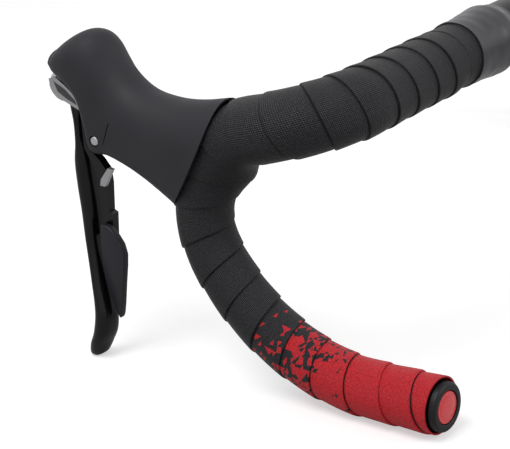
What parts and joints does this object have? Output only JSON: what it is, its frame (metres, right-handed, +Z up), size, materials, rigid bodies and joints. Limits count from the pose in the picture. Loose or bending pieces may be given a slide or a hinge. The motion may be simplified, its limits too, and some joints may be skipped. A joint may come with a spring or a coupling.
{
  "type": "taped road drop handlebar with brake and shift levers",
  "caption": "Road bicycle drop handlebar wound with black and red tape, fitted with hooded brake and shift levers, finishing bands and plugs in the bar ends.",
  "frame": {"origin": "on the surface that the part stands on, under the middle of its bounding box", "axes": "+X to the rider's right along the straight top, +Y forward, +Z up"},
  "size_m": [0.4592, 0.2292, 0.1712],
  "materials": {
    "bar_anodised": "satin black anodised",
    "bar_tape": "matt black embossed weave, fading to red at the bar end",
    "band_film": "satin black film",
    "plug_plastic": "black moulded plastic",
    "plug_cap_red": "glossy red",
    "steel": "bright plated",
    "bracket_composite": "black fibre-filled plastic",
    "hood_rubber": "matt black rubber",
    "lever_paint": "gloss black paint",
    "plate_metal": "satin silver",
    "paddle_plastic": "dark grey plastic"
  },
  "bodies": {
    "bar": {"handlebar": "bar_anodised", "bar_tape_left": "bar_tape", "bar_tape_right": "bar_tape", "finishing_band_left": "band_film", "finishing_band_right": "band_film", "end_plug_left": "plug_plastic", "end_plug_right": "plug_plastic", "end_plug_cap_left": "plug_cap_red", "end_plug_cap_right": "plug_cap_red", "clamp_band_left": "steel", "clamp_band_right": "steel", "clamp_bolt_left": "steel", "clamp_bolt_right": "steel", "lever_bracket_left": "bracket_composite", "lever_bracket_right": "bracket_composite", "lever_hood_left": "hood_rubber", "lever_hood_right": "hood_rubber", "pivot_pin_left": "steel", "pivot_pin_right": "steel"},
    "left_lever": {"lever_carrier_left": "steel", "cable_anchor_left": "steel", "return_spring_left": "steel", "pivot_clip_left": "steel", "shift_shaft_left": "steel", "name_plate_left": "plate_metal"},
    "right_lever": {"lever_carrier_right": "steel", "cable_anchor_right": "steel", "return_spring_right": "steel", "pivot_clip_right": "steel", "shift_shaft_right": "steel", "name_plate_right": "plate_metal"},
    "left_blade": {"brake_blade_left": "lever_paint"},
    "right_blade": {"brake_blade_right": "lever_paint"},
    "left_paddle": {"paddle_arm_left": "bracket_composite", "paddle_link_left": "steel", "release_paddle_left": "paddle_plastic"},
    "right_paddle": {"paddle_arm_right": "bracket_composite", "paddle_link_right": "steel", "release_paddle_right": "paddle_plastic"}
  },
  "joints": [
    {"name": "left_brake_pull", "type": "hinge", "parent": "bar", "child": "left_lever", "pos_m": [-0.21, 0.07716, 0.1198], "axis": [-1, 0, 0], "range_deg": [0, 24], "stiffness_Nm_per_rad": 0.8, "springref_deg": -17.19},
    {"name": "right_brake_pull", "type": "hinge", "parent": "bar", "child": "right_lever", "pos_m": [0.21, 0.07716, 0.1198], "axis": [-1, 0, 0], "range_deg": [0, 24], "stiffness_Nm_per_rad": 0.8, "springref_deg": -17.19},
    {"name": "left_blade_swing", "type": "hinge", "parent": "left_lever", "child": "left_blade", "pos_m": [-0.21, 0.097, 0.1353], "axis": [0, -1, 0], "range_deg": [0, 14], "stiffness_Nm_per_rad": 0.4, "springref_deg": -17.19},
    {"name": "right_blade_swing", "type": "hinge", "parent": "right_lever", "child": "right_blade", "pos_m": [0.21, 0.097, 0.1353], "axis": [0, 1, 0], "range_deg": [0, 14], "stiffness_Nm_per_rad": 0.4, "springref_deg": -17.19},
    {"name": "left_paddle_swing", "type": "hinge", "parent": "left_blade", "child": "left_paddle", "pos_m": [-0.21, 0.0895, 0.1353], "axis": [0, -1, 0], "range_deg": [0, 10], "stiffness_Nm_per_rad": 0.2, "springref_deg": -17.19},
    {"name": "right_paddle_swing", "type": "hinge", "parent": "right_blade", "child": "right_paddle", "pos_m": [0.21, 0.0895, 0.1353], "axis": [0, 1, 0], "range_deg": [0, 10], "stiffness_Nm_per_rad": 0.2, "springref_deg": -17.19}
  ]
}
